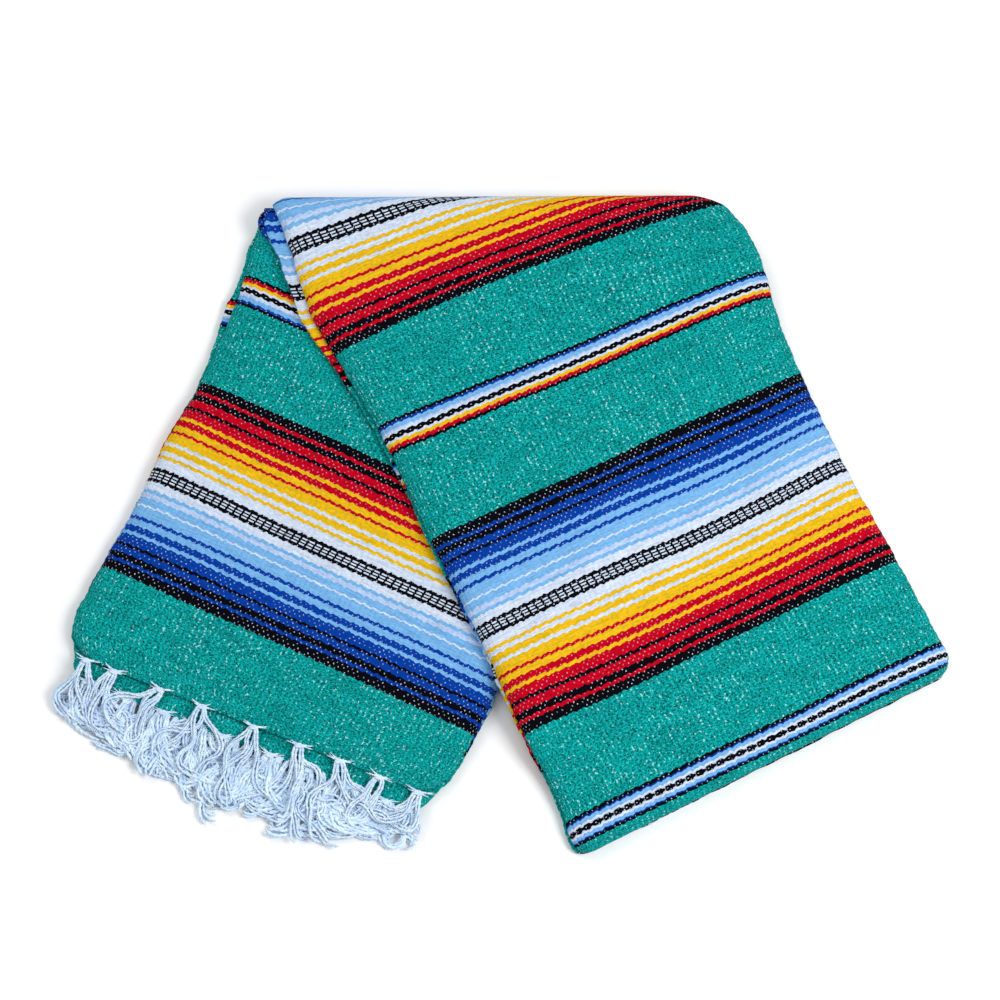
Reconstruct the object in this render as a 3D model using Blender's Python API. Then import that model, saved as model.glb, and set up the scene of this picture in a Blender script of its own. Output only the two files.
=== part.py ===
"""A woven serape blanket, folded and lying on a flat surface.

The cloth is folded twice across its width (four layers) and once across its length
(eight layers). The packet is then laid over itself at a slant, so that it makes two legs
that meet in a rounded ridge. The left leg lies below and ends in the two fringed hems.
The right leg lies on it, comes down beside it, and ends in the fold across the middle.

Metres, +Z up, +X to the right, +Y from the hems to the ridge. The origin is at the
middle of the bounding box, on the surface that the cloth lies on. Each leg is a stack:
an outer layer and a second layer as walls of cloth, over one rounded solid that stands
for the hidden layers.
"""

import math

import bmesh
import bpy
import numpy as np

# ---- driving dimensions -------------------------------------------------------------
WALL = 0.0020  # one layer of the cloth
GAP = 0.0003  # between neighbouring solids
LEG_THICKNESS = 0.0167  # eight layers, pressed
RIGHT_LEG_THICKNESS = 0.0170
BED = LEG_THICKNESS + GAP  # what the right leg lies on, over the left leg
DRAPE_START = 0.012  # how far past the edge of the left leg the right leg starts down
DRAPE = 0.085  # how far it takes to come down to the surface
CORNER = 0.016  # radius of the rounded corners, from above
HEM_STEP = 0.015  # how far the lower hems reach past the upper ones
FRINGE = 0.078  # length of the knotted fringe

# Points along each edge, from the ridge to the free end, as (x, y).
RIGHT_LEG_LEFT_EDGE = [
    (-0.187, 0.262), (-0.171, 0.222), (-0.160, 0.186), (-0.149, 0.154),
    (-0.128, 0.118), (-0.092, 0.052), (-0.055, -0.031), (-0.017, -0.110),
    (0.012, -0.176), (0.036, -0.220), (0.052, -0.268),
]
RIGHT_LEG_RIGHT_EDGE = [
    (0.160, 0.2635), (0.177, 0.247), (0.192, 0.225), (0.202, 0.200),
    (0.215, 0.154), (0.256, 0.051), (0.297, -0.035), (0.338, -0.122),
]
LEFT_LEG_LEFT_EDGE = [
    (-0.190, 0.252), (-0.203, 0.216), (-0.210, 0.180), (-0.237, 0.109),
    (-0.262, 0.060), (-0.285, 0.004), (-0.308, -0.042), (-0.326, -0.084),
    (-0.324, -0.113),
]
LEFT_LEG_RIGHT_EDGE = [
    (0.158, 0.250), (0.150, 0.190), (0.100, 0.085), (0.046, -0.028),
    (-0.007, -0.140), (-0.024, -0.175), (-0.040, -0.203), (-0.058, -0.222),
]
# How far the second layer shows past the outer one: distance from the ridge, reach.
RIGHT_LEG_PEEK = [
    (0.00, 0.0020), (0.02, 0.0070), (0.04, 0.0120), (0.08, 0.0100), (0.14, 0.0065),
    (0.20, 0.0030), (0.30, 0.0015),
]
LEFT_LEG_PEEK = [(0.00, 0.002), (0.06, 0.003), (0.09, 0.008), (0.13, 0.003), (0.20, 0.0015)]
RIGHT_SIDE_PEEK = 0.0015

# Profiles of the outer layer's upper face, as (inset from its edge, drop from the top).
SIDE = [(0.0180, 0.0), (0.0105, 0.0008), (0.0046, 0.0030), (0.0010, 0.0060), (0.0, 0.0084)]
RIDGE_END = [
    (0.0170, 0.0), (0.0090, 0.0022), (0.0034, 0.0068), (0.0006, 0.0125),
    (0.0, 0.0180), (0.0010, 0.0245), (0.0028, 0.0308),
]
FOLD_END = [(0.0110, 0.0), (0.0055, 0.0014), (0.0015, 0.0048), (0.0, 0.0090), (0.0005, 0.0144)]
HEM_END = [(0.0200, 0.0), (0.0110, 0.0004), (0.0045, 0.0014), (0.0, 0.0032)]
COVERED_END = [(0.0140, 0.0), (0.0070, 0.0012), (0.0020, 0.0044), (0.0, 0.0090)]

# Below the edge of the outer layer: share of the reach past it, extra reach, depth.
SECOND_RINGS = [(0.5, -0.0002, 0.0014), (1.0, -0.0003, 0.0022), (1.0, 0.0, 0.0042)]
SECOND_INSIDE = [(1.0, -0.0021, 0.0044), (1.0, -0.0023, 0.0039), (0.4, -0.0025, 0.0032)]
HIDDEN_RINGS = [(0.30, -0.0042, 0.0052), (0.86, -0.0039, 0.0060), (0.90, -0.0032, 0.0064),
                (1.0, -0.0006, 0.0070)]
HIDDEN_FOOT = -0.0018  # where the lowest layer meets the surface, from the reach
SIDE_ROOM = 0.0083  # left for the lower layers below the edge of the outer one

TEAL = (0.010, 0.300, 0.235, 1.0)
DEEP_TEAL = (0.008, 0.200, 0.165, 1.0)
DARK_TEAL = (0.006, 0.120, 0.100, 1.0)
COTTON = (0.650, 0.690, 0.800, 1.0)


# ---- the stage for the model ----------------------------------------------------------
for old in list(bpy.context.scene.objects):
    bpy.data.objects.remove(old, do_unlink=True)
serape = bpy.data.collections.new("folded_serape")
bpy.context.scene.collection.children.link(serape)


def cloth_material(name, colour, roughness=0.9):
    """A dull woven finish in one colour."""
    material = bpy.data.materials.new(name)
    material.use_nodes = True
    shader = material.node_tree.nodes["Principled BSDF"]
    shader.inputs["Base Color"].default_value = colour
    shader.inputs["Roughness"].default_value = roughness
    shader.inputs["Metallic"].default_value = 0.0
    return material


# ---- outlines and profiles --------------------------------------------------------------
def smooth_edge(points, steps=16):
    """A Catmull-Rom curve through the points, and the distance along it."""
    p = np.array(points, float)
    p = np.vstack([2 * p[0] - p[1], p, 2 * p[-1] - p[-2]])
    t = np.linspace(0, 1, steps, endpoint=False)[:, None]
    curve = []
    for a, b, c, d in zip(p, p[1:], p[2:], p[3:]):
        curve.append(0.5 * (2 * b + (c - a) * t + (2 * a - 5 * b + 4 * c - d) * t**2
                            + (3 * b - a - 3 * c + d) * t**3))
    curve = np.vstack(curve + [p[-2:-1]])
    along = np.concatenate([[0], np.cumsum(np.linalg.norm(np.diff(curve, axis=0), axis=1))])
    return curve, along


def on_edge(edge, distance):
    """The point of a smooth edge at a distance from the ridge, straight on past its ends."""
    curve, along = edge
    point = np.array([np.interp(distance, along, curve[:, k]) for k in (0, 1)])
    past = distance - min(max(distance, 0.0), along[-1])
    a, b = (curve[0], curve[1]) if past < 0 else (curve[-2], curve[-1])
    return point + (b - a) / np.linalg.norm(b - a) * past


def bed_height(x, y):
    """Height of what the right leg lies on: the left leg, then down to the surface."""
    (x0, y0), (x1, y1) = LEFT_LEG_RIGHT_EDGE[1], LEFT_LEG_RIGHT_EDGE[4]
    length = math.hypot(x1 - x0, y1 - y0)
    beside = ((x - x0) * (y0 - y1) + (y - y0) * (x1 - x0)) / length
    share = min(max((beside - DRAPE_START) / DRAPE, 0.0), 1.0)
    return BED * 0.5 * (1 + math.cos(math.pi * share))


# ---- a leg as nested layers -----------------------------------------------------------------
def outer_face(leg):
    """Upper face of the outer layer: rows from the ridge to the free end, left to right.

    Returns the points, and for each point the directions across and along the leg.
    """
    ends = [(inset, None, drop, "start") for inset, drop in reversed(leg["start"])]
    ends += [(None, (k + 1) / (leg["rows"] + 1), 0.0, "middle") for k in range(leg["rows"])]
    ends += [(inset, None, drop, "finish") for inset, drop in leg["finish"]]
    start_flat, finish_flat = leg["start"][0][0], leg["finish"][0][0]
    points, directions = [], []
    for inset, share, drop, where in ends:
        pair = []
        for edge in (leg["left"], leg["right"]):
            length = edge[1][-1]
            distance = {
                "start": inset,
                "finish": length - (inset or 0),
                "middle": start_flat + (length - start_flat - finish_flat) * (share or 0),
            }[where]
            pair.append(on_edge(edge, distance))
        a, b = pair
        width = np.linalg.norm(b - a)
        across = (b - a) / width
        along = np.array([across[1], -across[0]])
        columns = [(i, d, i, -1) for i, d in reversed(SIDE)]
        flat = width - 2 * SIDE[0][0]
        columns += [(SIDE[0][0] + flat * (k + 1) / (leg["columns"] + 1), 0.0, None, 0)
                    for k in range(leg["columns"])]
        columns += [(width - i, d, i, 1) for i, d in SIDE]
        row = []
        for place, side_drop, side_inset, side in columns:
            point = a + across * place
            if side_inset is not None and inset is not None:
                turn = along * (-1 if where == "start" else 1)
                point = point + rounded_corner(side_inset, inset, across * side, turn)
            total = leg["total"][where]
            fall = side_drop + drop - side_drop * drop / total
            row.append((point[0], point[1], leg["top"](point[0], point[1]) - fall))
        points.append(row)
        directions.append((across, along))
    return np.array(points), directions


def rounded_corner(side_inset, end_inset, outwards, endwards):
    """How a point near a square corner of the outline moves in to a rounded one."""
    a, b = 1 - side_inset / CORNER, 1 - end_inset / CORNER
    if a <= 0 or b <= 0:
        return np.zeros(2)
    round_a, round_b = a * math.sqrt(1 - b * b / 2), b * math.sqrt(1 - a * a / 2)
    return outwards * (round_a - a) * CORNER + endwards * (round_b - b) * CORNER


def normals(face):
    """The direction out of a face at each of its points."""
    out = np.cross(np.gradient(face, axis=0), np.gradient(face, axis=1))
    return out / np.linalg.norm(out, axis=2)[:, :, None]


def nested(face, depth):
    """A face moved into the leg by a depth, square to itself."""
    return face - normals(face) * depth


def rim_of(rows, columns):
    """The places around the edge of a grid, clockwise seen from above."""
    rim = [(0, c) for c in range(columns)] + [(r, columns - 1) for r in range(1, rows)]
    rim += [(rows - 1, c) for c in range(columns - 2, -1, -1)]
    return rim + [(r, 0) for r in range(rows - 2, 0, -1)]


def rim_facts(leg, face, directions, skip=0):
    """For each place on the rim: the outer layer's edge there, how the layers below show
    past it, the way into the leg, the room for them, and whether the edge is a covered one."""
    rows, columns = face.shape[:2]
    left_length = np.concatenate([[0], np.cumsum(np.linalg.norm(np.diff(face[:, 0], axis=0), axis=1))])
    inwards = -normals(face)[:, columns // 2]
    facts = []
    for r, c in rim_of(rows - skip, columns):
        r += skip
        across, along = directions[r]
        reach, outwards, room = np.zeros(3), np.zeros(3), SIDE_ROOM
        covered = r == skip or (r == rows - 1 and not leg["step"])
        if c == 0:
            reach[:2] -= across * np.interp(left_length[r], *zip(*leg["peek"]))
            outwards[:2] -= across
        if c == columns - 1:
            reach[:2] += across * RIGHT_SIDE_PEEK
            outwards[:2] += across
        if r == rows - 1:
            reach[:2] += along * leg["step"]
            outwards[:2] += along
        if 0 < c < columns - 1 and r == skip:
            outwards[:2] -= along
        if r > rows - len(leg["finish"]) and not leg["step"]:
            covered = True
        if r < len(leg["start"]):
            covered = covered or bool(skip)
        else:
            room = face[r][c][2] - leg["under"](face[r][c][0], face[r][c][1])
        outwards /= np.linalg.norm(outwards)
        facts.append((face[r][c], reach, outwards, inwards[r], room, covered))
    return facts


def rings_below(facts, rings, start, finish):
    """Rings of points from one rim to another, past and below the outer layer's edge."""
    result = []
    for k, (share, extra, depth) in enumerate(rings):
        way = (k + 1) / (len(rings) + 1)
        ring = []
        for (edge, reach, outwards, inwards, room, covered), a, b in zip(facts, start, finish):
            if covered:
                ring.append(a + (b - a) * way)
            else:
                scale = room / SIDE_ROOM
                ring.append(edge + reach * share + outwards * extra + inwards * depth * scale)
        result.append(ring)
    return result


def closed_body(name, upper, rings, lower, material):
    """A closed body from an upper grid, rings that go down from its rim, and a lower grid."""
    body = bmesh.new()
    top = [[body.verts.new(p) for p in row] for row in upper]
    under = [[body.verts.new(p) for p in row] for row in lower]
    for r in range(len(upper) - 1):
        for c in range(len(upper[0]) - 1):
            body.faces.new((top[r][c], top[r + 1][c], top[r + 1][c + 1], top[r][c + 1]))
            body.faces.new((under[r][c], under[r][c + 1], under[r + 1][c + 1], under[r + 1][c]))
    rim = rim_of(len(upper), len(upper[0]))
    loops = [[top[r][c] for r, c in rim]]
    loops += [[body.verts.new(p) for p in ring] for ring in rings]
    loops += [[under[r][c] for r, c in rim]]
    for above, below in zip(loops, loops[1:]):
        for k in range(len(rim)):
            n = (k + 1) % len(rim)
            body.faces.new((above[k], above[n], below[n], below[k]))
    mesh = bpy.data.meshes.new(name)
    body.to_mesh(mesh)
    body.free()
    mesh.shade_smooth()
    mesh.set_sharp_from_angle(angle=math.radians(50))
    mesh.materials.append(material)
    piece = bpy.data.objects.new(name, mesh)
    serape.objects.link(piece)
    return piece


def respace(floor, first_rows, last_rows, side_columns):
    """Spreads the points of an underside evenly between its rim and its middle."""
    rows, columns = floor.shape[:2]
    for k in range(1, first_rows):
        floor[k, 1:-1] = floor[0, 1:-1] + (floor[first_rows, 1:-1] - floor[0, 1:-1]) * k / first_rows
    inner = rows - 1 - last_rows
    for k in range(1, last_rows):
        floor[rows - 1 - k, 1:-1] = (floor[-1, 1:-1]
                                     + (floor[inner, 1:-1] - floor[-1, 1:-1]) * k / last_rows)
    for k in range(1, side_columns):
        share = k / side_columns
        floor[:, k] = floor[:, 0] * (1 - share) + floor[:, side_columns] * share
        floor[:, columns - 1 - k] = (floor[:, -1] * (1 - share)
                                     + floor[:, columns - 1 - side_columns] * share)


def left_top(x, y):
    """Height of the left leg's top, which is flat."""
    return LEG_THICKNESS


def right_top(x, y):
    """Height of the right leg's top, which follows what it lies on."""
    return bed_height(x, y) + RIGHT_LEG_THICKNESS


def on_surface(x, y):
    """The surface that the cloth lies on."""
    return 0.0


LEGS = {
    "left_leg": {
        "left": smooth_edge(LEFT_LEG_LEFT_EDGE), "right": smooth_edge(LEFT_LEG_RIGHT_EDGE),
        "start": COVERED_END, "finish": HEM_END, "rows": 7, "columns": 5, "top": left_top,
        "under": on_surface, "peek": LEFT_LEG_PEEK, "step": HEM_STEP, "covered_rows": 0,
        "total": {"start": LEG_THICKNESS, "middle": 1.0, "finish": LEG_THICKNESS},
    },
    "right_leg": {
        "left": smooth_edge(RIGHT_LEG_LEFT_EDGE), "right": smooth_edge(RIGHT_LEG_RIGHT_EDGE),
        "start": RIDGE_END, "finish": FOLD_END, "rows": 11, "columns": 8, "top": right_top,
        "under": bed_height, "peek": RIGHT_LEG_PEEK, "step": 0.0, "covered_rows": 3,
        "total": {"start": BED + RIGHT_LEG_THICKNESS, "middle": 1.0,
                  "finish": RIGHT_LEG_THICKNESS},
    },
}
for leg_name, leg in LEGS.items():
    face, directions = outer_face(leg)
    layer = WALL + GAP
    side = leg_name.split("_")[0]
    closed_body(f"{leg_name}_outer_layer", face, [], nested(face, WALL),
                cloth_material(f"{side}_outer_teal", TEAL))

    second, inside = nested(face, layer), nested(face, layer + WALL)
    facts = rim_facts(leg, face, directions)
    rim = rim_of(*second.shape[:2])
    above, below = [second[r][c] for r, c in rim], [inside[r][c] for r, c in rim]
    rings = rings_below(facts, SECOND_RINGS + SECOND_INSIDE, above, below)
    closed_body(f"{leg_name}_second_layer", second, rings, inside,
                cloth_material(f"{side}_second_teal", DEEP_TEAL))

    skip = leg["covered_rows"]
    kept = len(face) - bool(skip)
    hidden = nested(face, 2 * layer)[skip:kept]
    facts = rim_facts(leg, face[:kept], directions[:kept], skip)
    floor = hidden.copy()
    rim = rim_of(*hidden.shape[:2])
    for (r, c), (edge, reach, outwards, inwards, room, covered) in zip(rim, facts):
        if covered:
            floor[r][c] -= outwards * 0.0006
        else:
            floor[r][c] = edge + reach + outwards * HIDDEN_FOOT
    respace(floor, len(leg["start"]) - skip, len(leg["finish"]) - bool(skip), len(SIDE))
    for row in floor:
        for point in row:
            point[2] = leg["under"](point[0], point[1])
    above, below = [hidden[r][c] for r, c in rim], [floor[r][c] for r, c in rim]
    rings = rings_below(facts, HIDDEN_RINGS, above, below)
    closed_body(f"{leg_name}_hidden_layers", hidden, rings, floor,
                cloth_material(f"{side}_hidden_teal", DARK_TEAL))

# ---- the fringe --------------------------------------------------------------------------
# Reach past the hem, from the left corner of the leg to its right corner, as shares of FRINGE.
FRINGE_REACH = [
    (0.00, 0.62), (0.12, 0.74), (0.30, 0.95), (0.50, 1.05), (0.68, 1.02), (0.85, 0.84), (1.00, 0.62),
]
# Sections: distance past the upper hem, share of the way from there to the tips, underside, top.
UPPER_FRINGE = [
    (GAP, 0.0, 0.0119, 0.0150), (0.008, 0.0, 0.0117, 0.0148), (0.0162, 0.0, 0.0103, 0.0136),
    (0.024, 0.0, 0.0080, 0.0118), (0.024, 0.4, 0.0064, 0.0096), (0.024, 0.96, 0.0042, 0.0062),
]
LOWER_FRINGE = [
    (HEM_STEP + 2 * GAP, 0.0, 0.0, 0.0074), (0.024, 0.0, 0.0, 0.0070), (0.024, 0.4, 0.0, 0.0056),
    (0.024, 1.0, 0.0, 0.0028),
]
FRINGE_INSET = 0.010  # in from the corners of the leg
FRINGE_LEAN = 0.018  # the tips on the right side trail to the left


def fringe(name, sections, material):
    """A plain solid of the reach of a row of knotted threads."""
    leg = LEGS["left_leg"]
    a, b = (on_edge(leg[side], leg[side][1][-1]) for side in ("left", "right"))
    across = (b - a) / np.linalg.norm(b - a)
    along = np.array([across[1], -across[0]])
    upper, lower = [], []
    for distance, share, under, top in sections:
        first = a + across * FRINGE_INSET
        last = b - across * (FRINGE_INSET + FRINGE_LEAN * distance / 0.024)
        rows = [[], []]
        for place in np.linspace(0, 1, 13):
            reach = FRINGE * np.interp(place, *zip(*FRINGE_REACH))
            past = distance + (reach - distance) * share
            x, y = first + (last - first) * place + along * past
            rows[0].append((x, y, top))
            rows[1].append((x, y, under))
        upper.append(rows[0])
        lower.append(rows[1])
    closed_body(name, upper, [], lower, material)


fringe("upper_fringe", UPPER_FRINGE, cloth_material("upper_cotton", COTTON))
fringe("lower_fringe", LOWER_FRINGE, cloth_material("lower_cotton", COTTON))
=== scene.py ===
import math
import random
from functools import partialmethod

import bmesh
import bpy
import numpy as np
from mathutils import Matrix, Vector


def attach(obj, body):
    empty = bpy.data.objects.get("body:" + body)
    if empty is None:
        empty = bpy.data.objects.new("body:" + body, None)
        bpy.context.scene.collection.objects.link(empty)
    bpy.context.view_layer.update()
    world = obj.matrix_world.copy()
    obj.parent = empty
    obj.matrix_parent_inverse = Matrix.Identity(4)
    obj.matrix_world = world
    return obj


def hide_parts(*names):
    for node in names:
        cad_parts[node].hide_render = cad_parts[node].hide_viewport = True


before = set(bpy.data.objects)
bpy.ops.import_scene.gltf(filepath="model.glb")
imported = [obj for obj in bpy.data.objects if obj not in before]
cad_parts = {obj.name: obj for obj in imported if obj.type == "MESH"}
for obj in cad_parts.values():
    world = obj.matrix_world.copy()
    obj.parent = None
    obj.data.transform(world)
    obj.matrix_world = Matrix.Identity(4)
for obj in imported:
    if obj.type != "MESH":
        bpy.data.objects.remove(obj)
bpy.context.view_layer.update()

# ==== the left leg's lower layers =======================================================
# The left leg is the lower half of the folded serape: eight layers of one weft-faced
# cloth, wool wefts beaten down over white cotton warps. The layers below the outer one
# show only as rounded folds and selvedges around the edge of the leg.
LEG_THICKNESS = 0.0167  # eight layers, lying loosely on each other
BED = 0.0170  # the right leg lies this high over the surface, where it covers the left leg
LEG_WIDTH = 0.318  # a quarter of the serape's width
SIDE_ROOM = 0.0083  # height of the folded edges below the edge of the outer layer
HEM_STEP = 0.015  # how far the lower hems reach past the upper ones
MESH_STEP = 0.0019  # from one row of a piece's mesh to the next
SIDE_POINTS, RIM_POINTS = 16, 9  # on a rolled side: of the cloth itself, of the rim below it

LEFT_LEG_LEFT_EDGE = [
    (-0.1870, 0.2600), (-0.2010, 0.2180), (-0.210, 0.180), (-0.237, 0.109),
    (-0.262, 0.060), (-0.285, 0.004), (-0.308, -0.042), (-0.326, -0.084),
    (-0.324, -0.113),
]
LEFT_LEG_RIGHT_EDGE = [
    (0.158, 0.250), (0.150, 0.190), (0.100, 0.085), (0.046, -0.028),
    (-0.007, -0.140), (-0.024, -0.175), (-0.040, -0.203), (-0.058, -0.222),
]
# The side of the outer layer: it rolls over the layers below, as (inset, drop).
SIDE_ROLL = [(0.0180, 0.0), (0.0105, 0.0008), (0.0046, 0.0030), (0.0010, 0.0060), (0.0, 0.0084)]
ROLLED_UNDER = [(0.0006, 0.0095), (0.0020, 0.0100), (0.0040, 0.0099)]
HEM_EDGE = [(0.0200, 0.0), (0.0110, 0.0004), (0.0045, 0.0014), (0.0008, 0.0022), (0.0, 0.0032)]
HEM_UNDER = [(0.0010, 0.0040), (0.0030, 0.0041)]
COVERED_END = [(0.0140, 0.0), (0.0070, 0.0012), (0.0020, 0.0044), (0.0, 0.0090)]


def smooth_edge(points, steps=24):
    """A Catmull-Rom curve through the points, and the distance along it."""
    p = np.array(points, float)
    p = np.vstack([2 * p[0] - p[1], p, 2 * p[-1] - p[-2]])
    t = np.linspace(0, 1, steps, endpoint=False)[:, None]
    curve = []
    for a, b, c, d in zip(p, p[1:], p[2:], p[3:]):
        curve.append(0.5 * (2 * b + (c - a) * t + (2 * a - 5 * b + 4 * c - d) * t**2
                            + (3 * b - a - 3 * c + d) * t**3))
    curve = np.vstack(curve + [p[-2:-1]])
    along = np.concatenate([[0], np.cumsum(np.linalg.norm(np.diff(curve, axis=0), axis=1))])
    return curve, along


def unit(v):
    return v / np.linalg.norm(v, axis=-1, keepdims=True)


def on_edge(edge, distance):
    """Points of a smooth edge at distances from the ridge, straight on past its ends."""
    curve, along = edge
    point = np.stack([np.interp(distance, along, curve[:, k]) for k in (0, 1)], -1)
    before = np.minimum(distance, 0.0)[..., None]
    after = np.maximum(distance - along[-1], 0.0)[..., None]
    return point + unit(curve[1] - curve[0]) * before + unit(curve[-1] - curve[-2]) * after


def profile_points(profile, count):
    """Evenly spaced places on a rounded profile, from the flat part outwards."""
    edge = smooth_edge(profile)
    return on_edge(edge, np.linspace(0, edge[1][-1], count))


def spread(first, flat, last):
    """Inset, drop, share of the flat part, and side, from one edge of a leg to the other."""
    places = (np.arange(flat) + 1) / (flat + 1)
    return (
        np.concatenate([first[::-1, 0], np.zeros(flat), last[:, 0]]),
        np.concatenate([first[::-1, 1], np.zeros(flat), last[:, 1]]),
        np.concatenate([np.zeros(len(first)), places, np.ones(len(last))]),
        np.concatenate([-np.ones(len(first)), np.zeros(flat), np.ones(len(last))]),
    )


def weft_place(leg, x, y):
    """Distance of a point of the cloth from the middle line of the whole serape."""
    marks = sorted(leg["wefts"])
    lines = np.array([y0 + x * math.tan(math.radians(slope)) + bend * x * x
                      for _, y0, slope, bend in marks])
    place = np.zeros(np.shape(x))
    far = 9.0  # the first and last stretch go on this many times past their marks
    for k in range(len(marks) - 1):
        share = (y - lines[k]) / (lines[k + 1] - lines[k])
        low = -far if k == 0 else 0.0
        high = far if k == len(marks) - 2 else 1.0
        inside = (share >= low) & (share < high)
        here = marks[k][0] + share * (marks[k + 1][0] - marks[k][0])
        place = np.where(inside, here, place)
    return place


# The cloth's own unevenness, as (length of a swell, the way it runs, start, rise).
UNEVENNESS = [
    (0.021, 0.3, 0.0, 0.00010), (0.027, 1.9, 1.0, 0.00012), (0.034, 2.7, 2.1, 0.00016),
    (0.043, 0.9, 3.3, 0.00020), (0.058, 1.5, 0.7, 0.00028), (0.083, 2.3, 4.0, 0.00035),
    (0.131, 0.5, 5.2, 0.00045),
]


def creased(leg, x, y):
    """Height of the soft creases and of the cloth's own unevenness."""
    height = np.zeros(np.shape(x))
    for x0, y0, x1, y1, width, rise in leg["creases"]:
        dx, dy = x1 - x0, y1 - y0
        share = ((x - x0) * dx + (y - y0) * dy) / (dx * dx + dy * dy)
        aside = ((x - x0) * dy - (y - y0) * dx) / math.hypot(dx, dy)
        aside = aside + 0.004 * np.sin(share * 5.0 + 40 * width)  # it isn't quite straight
        fade = np.clip(np.minimum(share, 1 - share) * 4 + 0.15, 0, 1)
        fade = fade * fade * (3 - 2 * fade)
        height += rise * np.exp(-((aside / width) ** 2)) * fade
    for length, turn, start, rise in UNEVENNESS:
        way = x * math.cos(turn) + y * math.sin(turn)
        height += rise * np.sin(2 * math.pi * way / length + start)
    return height


# Swells of the cloth's edge from one band of yarn to the next, as (length, reach, turn by side).
EDGE_SWELLS = [(0.0187, 0.0002, 1), (0.0311, 0.0003, 0), (0.0067, 0.0002, 2)]
CALM_DROP = 0.012  # by this drop below the top, a rolled side has no creases left


def cloth_face(leg, columns, rows):
    """Points and weave coordinates of a leg's outer layer, from the ridge to the free end."""
    side_inset, side_drop, side_share, side = (v[None, :] for v in columns)
    end_inset, end_drop, end_share, end = (v[:, None] for v in rows)
    first, last = leg["start"][0][0], leg["finish"][0][0]
    a, b = (
        on_edge(edge, np.select([end < 0, end > 0], [end_inset, edge[1][-1] - end_inset],
                                first + (edge[1][-1] - first - last) * end_share))
        for edge in (leg["left"], leg["right"])
    )
    width = np.linalg.norm(b - a, axis=-1)
    across = unit(b - a)
    along = np.stack([across[..., 1], -across[..., 0]], -1)
    flat_start = SIDE_ROLL[0][0]
    place = np.select(
        [(side < 0) & (width > 0), (side > 0) & (width > 0)],
        [side_inset + 0 * width, width - side_inset],
        flat_start + (width - 2 * flat_start) * side_share,
    )
    point = a + across * place[..., None]
    radius = np.where(end < 0, *leg["corners"])
    near_side, near_end = (np.clip(1 - inset / radius, 0, 1) for inset in (side_inset, end_inset))
    corner = (side != 0) & (end != 0)
    round_side = np.where(corner, near_side * (np.sqrt(1 - near_end**2 / 2) - 1), 0) * radius
    round_end = np.where(corner, near_end * (np.sqrt(1 - near_side**2 / 2) - 1), 0) * radius
    point = point + across * (side * round_side)[..., None] + along * (end * round_end)[..., None]

    total = np.select([end < 0, end > 0], [leg["total"][0], leg["total"][1]], 1.0)
    fall = side_drop + end_drop - side_drop * end_drop / total
    x, y = point[..., 0], point[..., 1]
    v = weft_place(leg, x, y) - end_drop * end * leg["free_end"]
    u = place / width * LEG_WIDTH + side_drop * side
    edge_share = np.clip(1 - side_inset / flat_start, 0, 1) ** 2 * np.abs(side)
    swell = sum(swell_reach * np.sin(v * 2 * math.pi / swell_length + turn * side)
                for swell_length, swell_reach, turn in EDGE_SWELLS)
    point = point + across * (side * edge_share * swell)[..., None]
    calm = np.clip(1 - fall / CALM_DROP, 0, 1)
    z = leg["top"](x, y) - fall + creased(leg, x, y) * calm
    return np.dstack([point, z]), np.dstack([u, v]), across, along


def leg_top(leg):
    """The whole outer layer as rows of points: rolled sides, rounded ends, flat middle."""
    length = leg["left"][1][-1]
    rolled_columns, rolled_rows = 18, 14  # as many fewer lie in the flat middle
    side = profile_points(SIDE_ROLL + ROLLED_UNDER, SIDE_POINTS)
    columns = spread(side, round(LEG_WIDTH / MESH_STEP) - rolled_columns, side)
    start = profile_points(leg["start"], leg["start_points"])
    finish = profile_points(leg["finish"] + leg["finish_under"], leg["finish_points"])
    rows = spread(start, round(length / MESH_STEP) - rolled_rows, finish)
    face, weave, _, _ = cloth_face(leg, columns, rows)
    return face, weave


def in_scene(name, data):
    thing = bpy.data.objects.new(name, data)
    bpy.context.scene.collection.objects.link(thing)
    return thing


def laid_grid(name, points, weave, material):
    """A fine grid of cloth laid on rows of points, with the weave's coordinates as its UVs."""
    rows, columns = points.shape[:2]
    grid = bmesh.new()
    bmesh.ops.create_grid(grid, x_segments=columns - 1, y_segments=rows - 1, size=0.5)
    mesh = bpy.data.meshes.new(name)
    grid.to_mesh(mesh)
    grid.free()
    flat = np.empty(len(mesh.vertices) * 3)
    mesh.vertices.foreach_get("co", flat)
    flat = flat.reshape(-1, 3)
    column = np.rint((flat[:, 0] + 0.5) * (columns - 1)).astype(int)
    row = np.rint((0.5 - flat[:, 1]) * (rows - 1)).astype(int)
    mesh.vertices.foreach_set("co", points[row, column].ravel())
    corner = np.empty(len(mesh.loops), int)
    mesh.loops.foreach_get("vertex_index", corner)
    layer = mesh.uv_layers.new(name="weave")
    layer.data.foreach_set("uv", weave[row, column][corner].ravel())
    mesh.shade_smooth()
    mesh.materials.append(material)
    mesh.update()
    return in_scene(name, mesh)


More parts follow.
